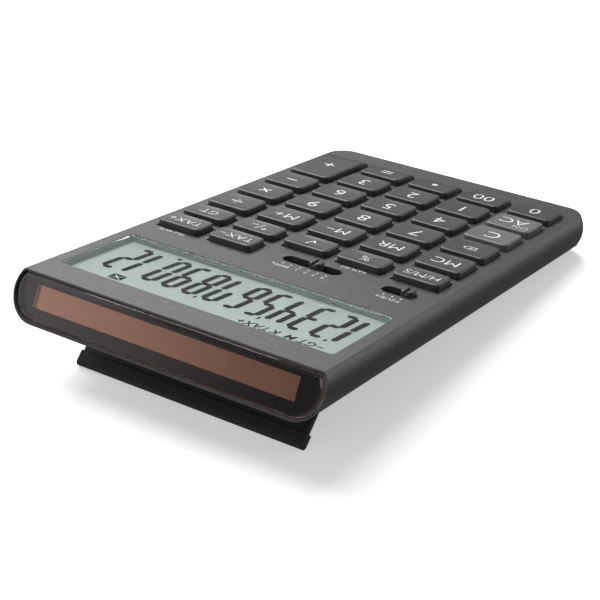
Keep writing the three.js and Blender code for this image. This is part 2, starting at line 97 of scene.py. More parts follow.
# %% [markdown]
# ## The case frame
#
# The calculator stands tilted on its stand, which makes every height awkward to state. A maker draws
# the case flat instead: X to the user's right, Y from the user's edge to the display end, Z up from
# the underside, in millimetres. The tilt and the place of that drawing come from the CAD joints: the
# keys' press axis is square to the case, and the stand's hinge is a known point of the drawing.

# %% From the case frame to the row frame
JOINTS = {joint["name"]: joint for joint in frame["joints"]}
PRESS_AXIS = JOINTS["press_5"]["axis"]
TILT = math.atan2(PRESS_AXIS[1], -PRESS_AXIS[2])
HINGE = np.array([0, 150.5, 2.4])
HINGE_IN_ROW = np.array(JOINTS["stand_fold"]["pos_m"])
CASE_TURN = np.array([
    [1, 0, 0],
    [0, math.cos(TILT), -math.sin(TILT)],
    [0, math.sin(TILT), math.cos(TILT)],
])
MM = 0.001


def in_row(points):
    """Case millimetres to row metres: measured from the hinge, turned by the tilt, put at the joint."""
    return (np.asarray(points, float) - HINGE) @ CASE_TURN.T * MM + HINGE_IN_ROW


print("tilt", round(math.degrees(TILT), 2), "degrees")

# %% [markdown]
# ## Sizes that more than one piece needs
#
# The case is a flat-topped bar with two round sides, the same section all along its length.

# %% Driving dimensions, in case millimetres
SIDE_RADIUS = 8.64
SIDE_CENTRE_X = 44.2
SIDE_CENTRE_Z = 8.7
TOP = 14.35
WALL = 1.9
PARTING = 2.4
CORNER_RADIUS = 9
EDGE_ROUND = 1
REAR_TOP_EDGE = 177.5
REAR_LEAN = math.radians(20)
SHELL_RIM = 0.5
SKIN_IN = 0.01  # the round front edge stays inside the CAD case, whose facets cut across it

COLUMN_PITCH = 19.5
ROW_PITCH = 16.9
KEY_WIDTH = 15.8
KEY_DEPTH = 13.4
SMALL_KEY_DEPTH = 9.6
KEY_TOP = 16.5
KEY_GAP = 0.3

DISPLAY_Y = 150.2
WINDOW = (93.7, 33.8)
WINDOW_CORNER = 1.6
LENS_TOP = TOP - 0.15
LENS_BOTTOM = LENS_TOP - 0.9
LCD_TOP = 11.9

SWITCH_Y = 115.8
SLOT_WIDTH = 5.2
SLOTS = {"decimal": (-8.3, 20.4), "rounding": (-38.4, 11.4)}

# %% [markdown]
# ## Surfaces from arrays
#
# Every new shell here is a stack of rings: the same closed outline again and again, each ring at its
# own height and size. Neighbouring rings are joined by quads and the two ends are closed by one flat
# face, so the skin is closed by construction. Numpy makes all the points at once, and the faces are
# just arithmetic on their numbers.

# %% Rings to a closed skin
def ring_faces(count, around):
    """Faces of a stack of rings: point b of ring a has number a * around + b."""
    a = np.arange(count - 1)[:, None] * around
    b = np.arange(around)[None, :]
    after = (b + 1) % around
    sides = np.stack([a + b, a + after, a + around + after, a + around + b], -1)
    ends = [list(range(around))[::-1], list(range((count - 1) * around, count * around))]
    return sides.reshape(-1, 4).tolist() + ends


def loop_faces(count, around):
    """Faces of a stack of rings without its two ends, where the last ring is joined to the first."""
    joint = np.arange(around)
    after = (joint + 1) % around
    last = (count - 1) * around
    closing = np.column_stack([last + joint, last + after, after, joint])
    return ring_faces(count, around)[:-2] + closing.tolist()


def skin(rings):
    """A stack of rings, (rings, points, 3), as one closed skin: its points and its faces."""
    rings = np.asarray(rings, float)
    return rings.reshape(-1, 3), ring_faces(*rings.shape[:2])


def prisms(outlines, bottom, top):
    """Flat outlines raised from bottom to top, all in one mesh."""
    points, faces, first = [], [], 0
    for outline in outlines:
        outline = np.asarray(outline, float)
        levels = [np.column_stack([outline, np.full(len(outline), z)]) for z in (bottom, top)]
        points.append(np.vstack(levels))
        faces += [[first + i for i in face] for face in ring_faces(2, len(outline))]
        first += 2 * len(outline)
    return np.vstack(points), faces


# %% Outlines
def rounded_outline(half_x, half_y, radii, steps=6, along=7):
    """Corners are quarter circles and sides are straight: at each corner, centre plus radius times
    (cos, sin), through 90 degrees, then evenly spaced points along the side that follows.
    radii are front right, rear right, rear left and front left, and the outline runs anticlockwise."""
    corners = np.array([[1, -1], [1, 1], [-1, 1], [-1, -1]], float)
    radii = np.broadcast_to(np.asarray(radii, float), 4)
    arcs = []
    for corner, radius, start in zip(corners, radii, (-90, 0, 90, 180)):
        turn = np.radians(start + np.linspace(0, 90, steps))
        centre = corner * ([half_x, half_y] - np.full(2, radius))
        arcs.append(centre + radius * np.column_stack([np.cos(turn), np.sin(turn)]))
    share = np.linspace(0, 1, along + 2)[1:-1, None]
    sides = [a[-1] + share * (b[0] - a[-1]) for a, b in zip(arcs, arcs[1:] + arcs[:1])]
    return np.vstack([part for pair in zip(arcs, sides) for part in pair])


def circle(x, y, radius, steps=20):
    turn = np.linspace(0, 2 * math.pi, steps, endpoint=False)
    return np.column_stack([x + radius * np.cos(turn), y + radius * np.sin(turn)])


def at_height(outline, z):
    """A flat outline as a ring at one height, or at a height for each of its points."""
    return np.column_stack([outline, np.broadcast_to(z, len(outline))])


# %% [markdown]
# A piece is a mesh whose object stays at the origin, with its place in its points, as the CAD's own
# pieces are. Smooth shading rounds what is round, and edges that turn by more than a set angle stay
# crisp. Each piece says which CAD body it rides on and which CAD part it stands for.

# %% A mesh as a piece of the model
def shade(mesh, crisp):
    mesh.shade_smooth()
    mesh.set_sharp_from_angle(angle=math.radians(crisp))


def make_piece(name, points, faces, finish, body="case", slot=None, replaces=(), crisp=35):
    """A new object of those points, in case millimetres, riding on a CAD body."""
    mesh = bpy.data.meshes.new(name)
    mesh.from_pydata(in_row(points).tolist(), [], faces)
    mesh.materials.append(finish)
    shade(mesh, crisp)
    piece = bpy.data.objects.new(name, mesh)
    bpy.context.scene.collection.objects.link(piece)
    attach(piece, body)
    if replaces:
        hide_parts(*replaces)
    return piece


def apply_modifiers(piece):
    """Bakes a piece's modifiers into its mesh."""
    bpy.context.view_layer.update()
    graph = bpy.context.evaluated_depsgraph_get()
    made = bpy.data.meshes.new_from_object(piece.evaluated_get(graph), depsgraph=graph)
    piece.modifiers.clear()
    piece.data = made


def soften(piece, width_mm, segments=2, angle=40):
    """A small even round on every edge that turns by more than the angle. The wide faces then lend
    their normals to the narrow ones, so that a flat plate stays flat right up to its edge."""
    shade(piece.data, angle)
    bevel = piece.modifiers.new("edge_round", "BEVEL")
    bevel.width = width_mm * MM
    bevel.segments = segments
    bevel.limit_method = "ANGLE"
    bevel.angle_limit = math.radians(angle)
    even = piece.modifiers.new("even_faces", "WEIGHTED_NORMAL")
    even.keep_sharp = True
    apply_modifiers(piece)


# %% [markdown]
# ## Finishes
#
# A finish starts from what the real material is. One function turns a designer's hex colour into the
# linear values a shader needs, one makes the bare material, and one adds a node with its settings and
# its links. Patterns read Object coordinates, which are metres here because every piece sits at the
# origin, so a grain of half a millimetre is a scale of two thousand.

# %% Colours, materials and nodes
def linear(hex_colour):
    """An sRGB hex colour as linear red, green, blue and an alpha of 1."""
    srgb = np.array([int(hex_colour[i : i + 2], 16) for i in (1, 3, 5)]) / 255
    rgb = np.where(srgb <= 0.04045, srgb / 12.92, ((srgb + 0.055) / 1.055) ** 2.4)
    return (*rgb.tolist(), 1.0)


def new_finish(name, colour, roughness, **values):
    """A material with one Principled shader. Extra values are its sockets, with _ for a space."""
    finish = bpy.data.materials.new(name)
    finish.use_nodes = True
    shader = finish.node_tree.nodes["Principled BSDF"]
    shader.inputs["Base Color"].default_value = linear(colour)
    shader.inputs["Roughness"].default_value = roughness
    for socket, value in values.items():
        shader.inputs[socket.replace("_", " ")].default_value = value
    return finish, finish.node_tree, shader


def add_node(tree, kind, inputs=None, **settings):
    """One node of that kind. inputs are values for its sockets, or other nodes' sockets to link."""
    node = tree.nodes.new(kind)
    for name, value in settings.items():
        setattr(node, name, value)
    for key, value in (inputs or {}).items():
        if isinstance(value, bpy.types.NodeSocket):
            tree.links.new(value, node.inputs[key])
        else:
            node.inputs[key].default_value = value
    return node


# %% A finish with the small unevenness of a real surface
GLOSS_DRIFT = 0.04
BUMP_STRENGTH = 0.5


def clouded(name, low, high, roughness, cloud_mm, grain_mm, depth_mm, **values):
    """The colour drifts between two shades in clouds cloud_mm across, the gloss drifts a little either
    way in clouds ten times as wide, and bumps grain_mm across stand depth_mm high."""
    finish, tree, shader = new_finish(name, high, roughness, **values)
    where = add_node(tree, "ShaderNodeTexCoord").outputs["Object"]
    cloud, drift, grain = [
        add_node(tree, "ShaderNodeTexNoise", {"Vector": where, "Scale": 1000 / across}).outputs["Fac"]
        for across in (cloud_mm, 10 * cloud_mm, grain_mm)
    ]
    shades = {0: cloud, 6: linear(low), 7: linear(high)}
    colour = add_node(tree, "ShaderNodeMix", shades, data_type="RGBA")
    tree.links.new(colour.outputs[2], shader.inputs["Base Color"])
    limits = {"Value": drift, 3: roughness - GLOSS_DRIFT, 4: roughness + GLOSS_DRIFT}
    gloss = add_node(tree, "ShaderNodeMapRange", limits)
    tree.links.new(gloss.outputs[0], shader.inputs["Roughness"])
    if depth_mm:
        relief = {"Height": grain, "Distance": depth_mm * MM, "Strength": BUMP_STRENGTH}
        bump = add_node(tree, "ShaderNodeBump", relief)
        tree.links.new(bump.outputs["Normal"], shader.inputs["Normal"])
    return finish


FLECK_CORE = 0.6  # share of a fleck's radius that has its full colour


def sprinkle(finish, flecks):
    """Adds round flecks to a finish: (colour, spacing, radius, share) in millimetres. Each cell of a
    Voronoi pattern has one fleck round its middle, kept where the cell's random colour is low."""
    tree = finish.node_tree
    colour = tree.nodes["Principled BSDF"].inputs["Base Color"]
    where = add_node(tree, "ShaderNodeTexCoord").outputs["Object"]
    for fleck, spacing, radius, share in flecks:
        cells = add_node(tree, "ShaderNodeTexVoronoi", {"Vector": where, "Scale": 1000 / spacing})
        edge = {"Value": cells.outputs["Distance"], 1: radius / spacing, 2: FLECK_CORE * radius / spacing}
        near = add_node(tree, "ShaderNodeMapRange", edge)
        chance = add_node(tree, "ShaderNodeSeparateColor", {"Color": cells.outputs["Color"]})
        kept = add_node(tree, "ShaderNodeMath", {0: chance.outputs[0], 1: share}, operation="LESS_THAN")
        both = {0: near.outputs[0], 1: kept.outputs[0]}
        shown = add_node(tree, "ShaderNodeMath", both, operation="MULTIPLY")
        shades = {0: shown.outputs[0], 6: colour.links[0].from_socket, 7: linear(fleck)}
        mixed = add_node(tree, "ShaderNodeMix", shades, data_type="RGBA")
        tree.links.new(mixed.outputs[2], colour)


# %% [markdown]
# The case is ABS moulded in a spark-eroded tool, coloured charcoal right through and sprinkled with
# mineral flecks, some pale and some black. That gives a dry, even sheen with fine sparkle. The flecks
# are drawn about twice as large as life so that they still show.

# %% Flecked ABS of the case
PALE_FLECKS = ("#a5a49c", 1.5, 0.18, 0.4)
DARK_FLECKS = ("#050505", 2.1, 0.27, 0.35)
CASE_FINISH = clouded("abs_flecked_charcoal_moulded", "#262625", "#323230", 0.46, 0.9, 0.45, 0.22, IOR=1.52)
sprinkle(CASE_FINISH, [PALE_FLECKS, DARK_FLECKS])

# %% [markdown]
# The keys are the same kind of plastic without flecks, moulded with a finer skin and worn to a faint
# polish by fingers. The legends are white ink printed under a clear coat. The stand is plain black
# ABS with a coarser matt texture, and the lower case and the battery door match the upper case.

# %% Key plastic, plain plastics and ink
KEY_FINISH = clouded("abs_key_caps_dark_grey", "#292929", "#313130", 0.4, 0.6, 0.3, 0.02, IOR=1.52)
CLEAR_KEY_FINISH = clouded("abs_key_caps_mid_grey", "#4e4e4c", "#585856", 0.4, 0.6, 0.3, 0.02, IOR=1.52)
BLACK_FINISH = clouded("abs_black_matt", "#020202", "#040404", 0.65, 0.6, 0.5, 0.05, IOR=1.52)
LOWER_FINISH = clouded("abs_charcoal_matt", "#242423", "#2d2d2c", 0.5, 0.6, 0.4, 0.05, IOR=1.52)
INK = clouded("pad_printed_white_ink", "#b8b8b6", "#c6c6c4", 0.5, 0.6, 0.2, 0)

# %% [markdown]
# Some parts are mostly out of sight: rubber feet, nickel-plated screws and contacts, brass wipers, the
# silicone key mat, the green circuit board and the amber ribbon. They keep their CAD shapes or a
# softened copy, and each gets the finish of its own material.

# %% Rubber, metals and the inner parts
RUBBER_FINISH = clouded("rubber_black_moulded", "#0b0b0b", "#121212", 0.75, 0.8, 0.4, 0.04, IOR=1.52)
STEEL_FINISH = clouded("steel_nickel_plated", "#8d8b86", "#9b9994", 0.32, 0.5, 0.1, 0.003, Metallic=1.0)
BRASS_FINISH = clouded("brass_strip_rolled", "#a88d4e", "#bfa565", 0.35, 0.5, 0.1, 0.003, Metallic=1.0)
SILICONE_FINISH = clouded("silicone_rubber_translucent", "#a4a4a0", "#b5b5b1", 0.6, 1.5, 0.3, 0.01, IOR=1.41)
BOARD_FINISH = clouded("epoxy_laminate_solder_resist", "#24502f", "#33633f", 0.35, 2.5, 0.6, 0.02, IOR=1.55)
RIBBON_FINISH = clouded("polyimide_film_amber", "#b0802f", "#c8994a", 0.25, 1.5, 0.3, 0.003, IOR=1.7)

# %% [markdown]
# ## The upper case
#
# The shell is one moulding: a flat plate that turns down over two long round sides, with round front
# corners. Its outline is known at every height, so it is a stack of such outlines. At a height, the
# side stands out as far as the round reaches there, and the front corners are quarter ellipses that
# share one centre, so that the round side runs smoothly into the upright front.

# %% Case outlines, height by height
CORNER_STEPS = 18


def side_reach(z, inset=0.0):
    """Half the case's width at a height: the round's centre plus the chord of its circle there."""
    return SIDE_CENTRE_X + np.sqrt((SIDE_RADIUS - inset) ** 2 - (z - SIDE_CENTRE_Z) ** 2)


def rear_plane(z, depth=0.0):
    """Y of the leaning rear face at a height, or of a plane that far inside it."""
    return REAR_TOP_EDGE + (TOP - z) * math.tan(REAR_LEAN) - depth / math.cos(REAR_LEAN)


def case_rings(heights, inset=0.0, rear_depth=0.0):
    """Rings of the case. A corner point is the corner's centre plus (a cos t, -b sin t): a is how far
    the side reaches past the centre at that height and b how far the front does."""
    z = np.asarray(heights, float)[:, None]
    over = np.clip(z - (TOP - inset - EDGE_ROUND), 0, EDGE_ROUND)
    front = inset + SKIN_IN + EDGE_ROUND - np.sqrt(EDGE_ROUND**2 - over**2)
    centre_x = SIDE_CENTRE_X + SIDE_RADIUS - CORNER_RADIUS
    turn = np.linspace(0, math.pi / 2, CORNER_STEPS)[None, :]
    across = centre_x + (side_reach(z, inset) - centre_x) * np.cos(turn)
    along = CORNER_RADIUS - (CORNER_RADIUS - front) * np.sin(turn)
    end_x = side_reach(z, inset)
    end_y = rear_plane(z, rear_depth)
    x = np.hstack([-end_x, -across, across[:, ::-1], end_x])
    y = np.hstack([end_y, along, along[:, ::-1], end_y])
    return np.stack([x, y, np.broadcast_to(z, x.shape)], -1)


def case_heights(bottom, inset=0.0):
    """Heights close enough together for the round sides and for the small round of the front edge."""
    reach = SIDE_RADIUS - inset
    low = math.asin(max((bottom - SIDE_CENTRE_Z) / reach, -1))
    high = math.asin((TOP - inset - SIDE_CENTRE_Z) / reach)
    sides = SIDE_CENTRE_Z + reach * np.sin(np.linspace(low, high, 26))
    edge = TOP - inset - EDGE_ROUND * (1 - np.cos(np.linspace(0, math.pi / 2, 9)[:-1]))
    return np.unique(np.round(np.concatenate([sides, edge]), 4))


# %% Outlines across the case, for the rear end
def rear_rings(insets, depths, steps=16):
    """The case's section, set in and pushed forward from the leaning rear face, ring by ring."""
    rings = []
    for inset, depth in zip(insets, depths):
        reach = SIDE_RADIUS - inset
        crease = math.asin((TOP - max(inset, 0) - SIDE_CENTRE_Z) / reach)
        turn = np.linspace(-math.pi / 2, crease, steps)
        right = np.column_stack([SIDE_CENTRE_X + reach * np.cos(turn), SIDE_CENTRE_Z + reach * np.sin(turn)])
        outline = np.vstack([right, right[::-1] * [-1, 1]])[::-1]
        y = rear_plane(outline[:, 1], depth)
        rings.append(np.column_stack([outline[:, 0], y, outline[:, 1]]))
    return rings


# %% [markdown]
# The keys' places follow from three pitches. Five columns are evenly spaced, four rows of full keys
# share a pitch, and two rows of small function keys sit closer together behind them.

# %% The keyboard's plan
SMALL_ROW_EDGES = [120.9, 108.0]
FRONT_ROW_EDGE = 26.7
FRONT_ROW = 6
MIDDLE_COLUMN = 2
FULL_ROWS = range(len(SMALL_ROW_EDGES), FRONT_ROW + 1)
ROW_REAR_EDGES = SMALL_ROW_EDGES + [FRONT_ROW_EDGE + (FRONT_ROW - row) * ROW_PITCH for row in FULL_ROWS]
KEYBOARD = [
    [None, None, None, "tax_minus", "tax_plus"],
    ["time", "percent", "root", "sign", "grand_total"],
    ["memory_clear", "memory_recall", "memory_minus", "memory_plus", "divide"],
    ["backspace", "7", "8", "9", "times"],
    ["clear", "4", "5", "6", "minus"],
    ["all_clear", "1", "2", "3", "plus"],
    ["0", "00", "point", "equals", None],
]


def plan_keys():
    """Each key's name, centre, depth, and whether its top rolls down at the front."""
    plan = []
    for row, names in enumerate(KEYBOARD):
        for column, name in enumerate(names):
            if name is None:
                continue
            full_depth = KEY_DEPTH + (ROW_PITCH if name == "plus" else 0)
            depth = full_depth if row in FULL_ROWS else SMALL_KEY_DEPTH
            plan.append({
                "name": name,
                "x": (column - MIDDLE_COLUMN) * COLUMN_PITCH,
                "y": ROW_REAR_EDGES[row] - depth / 2,
                "depth": depth,
                "rolls": row == FRONT_ROW or name == "plus",
            })
    return plan


KEYS = plan_keys()
print(len(KEYS), "keys")

# %% [markdown]
# The openings are cut out of the closed shell by Boolean modifiers, first the hollow inside and then
# the key holes, switch slots and window. A small Bevel afterwards gives every cut edge the soft light
# line that a real moulding has.

# %% Upper case
SLOT_END = SLOT_WIDTH / 2 - 0.01  # a slot's ends are half circles but for a hair
REAR_WALL = 3.2
COLLAR_DEPTH = 4.0
CASE_EDGE = 0.16


def cut_away(piece, points, faces):
    """Subtracts a closed skin from a piece."""
    cutter = bpy.data.objects.new("cutter", bpy.data.meshes.new("cutter"))
    cutter.data.from_pydata(in_row(points).tolist(), [], faces)
    bpy.context.scene.collection.objects.link(cutter)
    boolean = piece.modifiers.new("cut", "BOOLEAN")
    boolean.operation = "DIFFERENCE"
    boolean.solver = "EXACT"
    boolean.object = cutter
    apply_modifiers(piece)
    bpy.data.objects.remove(cutter)


def plan_openings():
    """Outlines of all that opens through the flat top."""
    holes = []
    for key in KEYS:
        half = (KEY_WIDTH / 2 + KEY_GAP, key["depth"] / 2 + KEY_GAP)
        corners = np.array([[-1, -1], [1, -1], [1, 1], [-1, 1]]) * half
        holes.append(corners + [key["x"], key["y"]])
    for centre, length in SLOTS.values():
        slot = rounded_outline(length / 2, SLOT_WIDTH / 2, SLOT_END, 10, 0)
        holes.append(slot + [centre, SWITCH_Y])
    window = rounded_outline(WINDOW[0] / 2, WINDOW[1] / 2, WINDOW_CORNER, 6, 0)
    holes.append(window + [0, DISPLAY_Y])
    return holes


def make_upper_case():
    shell = make_piece("upper_case_moulding", *skin(case_rings(case_heights(PARTING))), CASE_FINISH,
                       slot="case_plastic", replaces=["upper_case"])
    hollow_heights = np.concatenate([[PARTING - 2], case_heights(PARTING + 0.1, WALL)])
    cut_away(shell, *skin(case_rings(hollow_heights, WALL, REAR_WALL)))
    cut_away(shell, *skin(rear_rings([SHELL_RIM, SHELL_RIM], [COLLAR_DEPTH, -COLLAR_DEPTH])))
    cut_away(shell, *prisms(plan_openings(), TOP - 3, TOP + 1))
    soften(shell, CASE_EDGE)
    return shell


upper_case = make_upper_case()
print("upper case", len(upper_case.data.polygons), "faces")

# %% [markdown]
# ## Keys
#
# A key cap is a stack of rounded rectangles, from the lip that holds it under the case top, up its
# side and over a soft bevel, then inwards over the top in ever smaller rings. The top is dished by a
# quarter of a millimetre so that a finger finds its middle. The front row and the tall plus key also
# roll down towards the user, as a parabola that starts where the flat ends.

# %% Key caps
LIP = 0.8
LIP_BOTTOM = 11.1
BEVEL = 0.5
DISH = 0.22
FLAT_LENGTH = 7.5
ROLL_DROP = 1.3
REAR_CORNER = 1.7
FRONT_CORNER = 0.7
SMALLEST_CORNER = 0.12
TOP_RINGS = (0.94, 0.86, 0.75, 0.62, 0.48, 0.34, 0.2, 0.07)  # shares of the rim's outline


def roll_drop(key, y):
    """How far a rolling key's top has fallen at y: nothing on the flat, then the square of the way."""
    if not key["rolls"]:
        return 0 * y
    start = key["y"] - key["depth"] / 2 + KEY_DEPTH - FLAT_LENGTH
    way = np.clip((start - y) / (KEY_DEPTH - FLAT_LENGTH), 0, 1.02)
    return ROLL_DROP * way**2


def key_surface(key, x, y):
    """Height of a key's top. The dish is deepest in the middle and fades as one minus the square of the
    way out sideways, times one minus the fourth power of the way out lengthways."""
    u = np.abs(x - key["x"]) / (KEY_WIDTH / 2 - BEVEL)
    v = np.abs(y - key["y"]) / (key["depth"] / 2 - BEVEL)
    dish = DISH * np.clip(1 - u**2, 0, 1) * np.clip(1 - v**4, 0, 1)
    return KEY_TOP - dish - roll_drop(key, y)


def key_rings(key):
    front = FRONT_CORNER if key["rolls"] else REAR_CORNER
    radii = np.array([front, REAR_CORNER, REAR_CORNER, front])
    half = np.array([KEY_WIDTH / 2, key["depth"] / 2])
    centre = np.array([key["x"], key["y"]])

    def outline(inset):
        return rounded_outline(*(half - inset), np.maximum(radii - inset, SMALLEST_CORNER)) + centre

    rings = [at_height(outline(-LIP), z) for z in (LIP_BOTTOM, LIP_BOTTOM + 1)]
    rings += [at_height(outline(0), z) for z in (LIP_BOTTOM + 1.01, TOP, TOP + 0.4)]
    for turn in np.linspace(0, math.pi / 2, 6):
        ring = outline(BEVEL * (1 - math.cos(turn)))
        z = KEY_TOP - BEVEL * (1 - math.sin(turn)) - roll_drop(key, ring[:, 1])
        rings.append(at_height(ring, z))
    rim = outline(BEVEL) - centre
    for share in TOP_RINGS:
        ring = rim * share + centre
        rings.append(at_height(ring, key_surface(key, *ring.T)))
    return rings


for key in KEYS:
    clears = key["name"] in ("clear", "all_clear")
    make_piece(f"key_cap_{key['name']}", *skin(key_rings(key)),
               CLEAR_KEY_FINISH if clears else KEY_FINISH, body=f"key_{key['name']}",
               slot="clear_key_plastic" if clears else "key_plastic",
               replaces=[f"key_{key['name']}"], crisp=40)
print("key tops at", KEY_TOP, "mm")

# %% [markdown]
# ## Legends
#
# Printed legends are a film of ink a few hundredths of a millimetre thick. Blender's own text makes
# the letters: each is turned into a mesh first, scaled so that a capital has the height asked for,
# and then every point is lifted onto the surface that it is printed on, so that the ink follows a
# dished or rolled key. The film is closed, with its underside just inside the plastic.

# %% Text laid onto a surface
INK_THICKNESS = 0.03
INK_SUNK = 0.02
FILM_HALF = 0.5  # a film is made this far up and down, and is then laid onto its surface
CAPITAL_SHARE = 0.69  # a capital's height in text of size one


def text_points(words, height, weight=0.0, slant=0.0):
    """Text as a closed film, centred on its own box: points in millimetres, and faces."""
    curve = bpy.data.curves.new("words", "FONT")
    curve.body = words
    curve.size = height / CAPITAL_SHARE
    curve.offset = weight
    curve.shear = slant
    curve.resolution_u = 3
    curve.extrude = FILM_HALF
    holder = bpy.data.objects.new("words", curve)
    bpy.context.scene.collection.objects.link(holder)
    bpy.context.view_layer.update()
    graph = bpy.context.evaluated_depsgraph_get()
    mesh = bpy.data.meshes.new_from_object(holder.evaluated_get(graph))
    points = np.empty(len(mesh.vertices) * 3)
    mesh.vertices.foreach_get("co", points)
    points = points.reshape(-1, 3)
    faces = [list(polygon.vertices) for polygon in mesh.polygons]
    for data in (holder, curve, mesh):
        bpy.data.batch_remove([data])
    points[:, :2] -= (points[:, :2].min(0) + points[:, :2].max(0)) / 2
    return points, faces


def level(z):
    """A flat surface at one height."""
    return lambda x, y: np.full(len(x), z)


def ink_film(outlines, surface):
    """Joins (points, faces, x, y) films and lays them onto surface(x, y)."""
    all_points, all_faces, first = [], [], 0
    for points, faces, x, y in outlines:
        points = points + [x, y, 0]
        height = surface(points[:, 0], points[:, 1])
        points[:, 2] = np.where(points[:, 2] > 0, height + INK_THICKNESS - INK_SUNK, height - INK_SUNK)
        all_points.append(points)
        all_faces += [[first + i for i in face] for face in faces]
        first += len(points)
    return np.vstack(all_points), all_faces


# %% Key legends
DIGIT = 5.6
LETTER = 4.5
SMALL_LETTER = 3.35
THIN = -0.06  # how far each stroke is drawn in at both of its edges
SIGN = 6.2
LEGENDS = {
    "tax_minus": [("TAX−", SMALL_LETTER, 0, 0)],
    "tax_plus": [("TAX+", SMALL_LETTER, 0, 0)],
    "time": [("H/M/S", SMALL_LETTER, 0, 0)],
    "percent": [("%", 3.8, 0, 0)],
    "root": [("√", 3.6, 0, 0)],
    "sign": [("+", 3.6, -2.2, 1.0), ("/", 4.6, 0, 0), ("−", 3.6, 2.2, -1.0)],
    "grand_total": [("GT", SMALL_LETTER, 0, 0)],
    "memory_clear": [("MC", LETTER, 0, 0)],
    "memory_recall": [("MR", LETTER, 0, 0)],
    "memory_minus": [("M−", LETTER, 0, 0)],
    "memory_plus": [("M+", LETTER, 0, 0)],
    "divide": [("−", SIGN, 0, 0), ("•", 2.4, 0, 1.5), ("•", 2.4, 0, -1.5)],
    "times": [("×", SIGN, 0, 0)],
    "minus": [("−", SIGN, 0, 0)],
    "plus": [("+", SIGN, 0, 0)],
    "equals": [("=", SIGN, 0, 0)],
    "point": [("•", SIGN, 0, 0)],
    "backspace": [("×", 2.7, -0.4, 0)],
    "clear": [("C", DIGIT, 0, 0)],
    "all_clear": [("AC", 5.1, 0.6, -1.0), ("ON", 2.5, -3.6, 3.4)],
}


def ribbon(outline, width):
    """A closed outline drawn as a line of ink: the outline and the same drawn in towards its middle
    make one band. Each point moves in by the width along the bisector of its corner."""
    outline = np.asarray(outline, float)
    before, after = np.roll(outline, 1, 0), np.roll(outline, -1, 0)
    sides = ((before, outline), (outline, after))
    along = [(b - a) / np.linalg.norm(b - a, axis=1)[:, None] for a, b in sides]
    inward = [np.column_stack([-way[:, 1], way[:, 0]]) for way in along]
    bisector = inward[0] + inward[1]
    share = width / np.sum(bisector * inward[0], 1)
    inner = outline + bisector * share[:, None]
    levels = ((outline, -FILM_HALF), (outline, FILM_HALF), (inner, FILM_HALF), (inner, -FILM_HALF))
    points = np.vstack([at_height(line, z) for line, z in levels])
    return points, loop_faces(len(levels), len(outline))


ERASE_ARROW = [[-2.2, -1.3], [0.9, -1.3], [2.4, 0], [0.9, 1.3], [-2.2, 1.3]]
ERASE_WIDTH = 0.32


def make_legend(key):
    words = LEGENDS.get(key["name"], [(key["name"], DIGIT, 0, 0)])
    films = [(*text_points(text, height, THIN), key["x"] + x, key["y"] + y) for text, height, x, y in words]
    if key["name"] == "backspace":
        films.append((*ribbon(ERASE_ARROW, ERASE_WIDTH), key["x"], key["y"]))
    legend = ink_film(films, lambda x, y: key_surface(key, x, y))
    make_piece(f"legend_{key['name']}", *legend, INK, body=f"key_{key['name']}", slot="key_plastic", crisp=20)


for key in KEYS:
    make_legend(key)
print(len(KEYS), "legends printed")

# %% Labels printed on the case
DECIMAL_DOTS = [-15.9, -12.9, -9.9, -6.8, -3.6, -0.7]
DECIMAL_LABELS = ["4", "3", "2", "1", "0", "ADD₂"]
ROUNDING_DOTS = [-41.5, -38.5, -35.6]
ROUNDING_LABELS = ["F", "CUT", "5/4"]
DOT_Y = 120.3
LABEL_Y = 122.5
LABEL_HEIGHT = 1.45
DOT_RADIUS = 0.33
OTHER_LABELS = [("TAX RATE", 39.4, 122.7), ("RATE SET", -19.0, 109.6)]


def make_case_labels():
    films = []
    dots = DECIMAL_DOTS + ROUNDING_DOTS
    labels = DECIMAL_LABELS + ROUNDING_LABELS
    for x, label in zip(dots, labels):
        dot_points, dot_faces = prisms([circle(0, 0, DOT_RADIUS)], -FILM_HALF, FILM_HALF)
        films.append((dot_points, dot_faces, x, DOT_Y))
        films.append((*text_points(label, LABEL_HEIGHT), x, LABEL_Y))
    for label, x, y in OTHER_LABELS:
        films.append((*text_points(label, LABEL_HEIGHT), x, y))
    make_piece("case_labels", *ink_film(films, level(TOP)), INK, slot="case_plastic", crisp=20)


make_case_labels()
print(len(DECIMAL_DOTS) + len(ROUNDING_DOTS), "switch positions marked")

# %% [markdown]
# ## Copies of CAD parts with finished edges
#
# Some CAD parts already have the right shape and only lack the small rounds that a moulding tool
# leaves. A copy of such a part is merged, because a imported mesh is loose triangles, its flat faces
# are joined up again and its edges get a fine bevel. The CAD part itself stays as it is.

# %% A refined copy
MERGE_DISTANCE = 1e-6
FLAT_ANGLE = math.radians(1)


def refine(node, name, finish, slot, width_mm, segments=2, angle=40):
    """A merged, bevelled copy of a CAD part, which then stands for it."""
    source = frame["nodes"][node]
    work = bmesh.new()
    work.from_mesh(source.data)
    bmesh.ops.remove_doubles(work, verts=work.verts, dist=MERGE_DISTANCE)
    bmesh.ops.dissolve_limit(work, angle_limit=FLAT_ANGLE, verts=work.verts, edges=work.edges)
    mesh = bpy.data.meshes.new(name)
    work.to_mesh(mesh)
    work.free()
    mesh.materials.clear()
    mesh.materials.append(finish)
    piece = bpy.data.objects.new(name, mesh)
    bpy.context.scene.collection.objects.link(piece)
    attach(piece, source["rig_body"])
    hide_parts(node)
    soften(piece, width_mm, segments, angle)


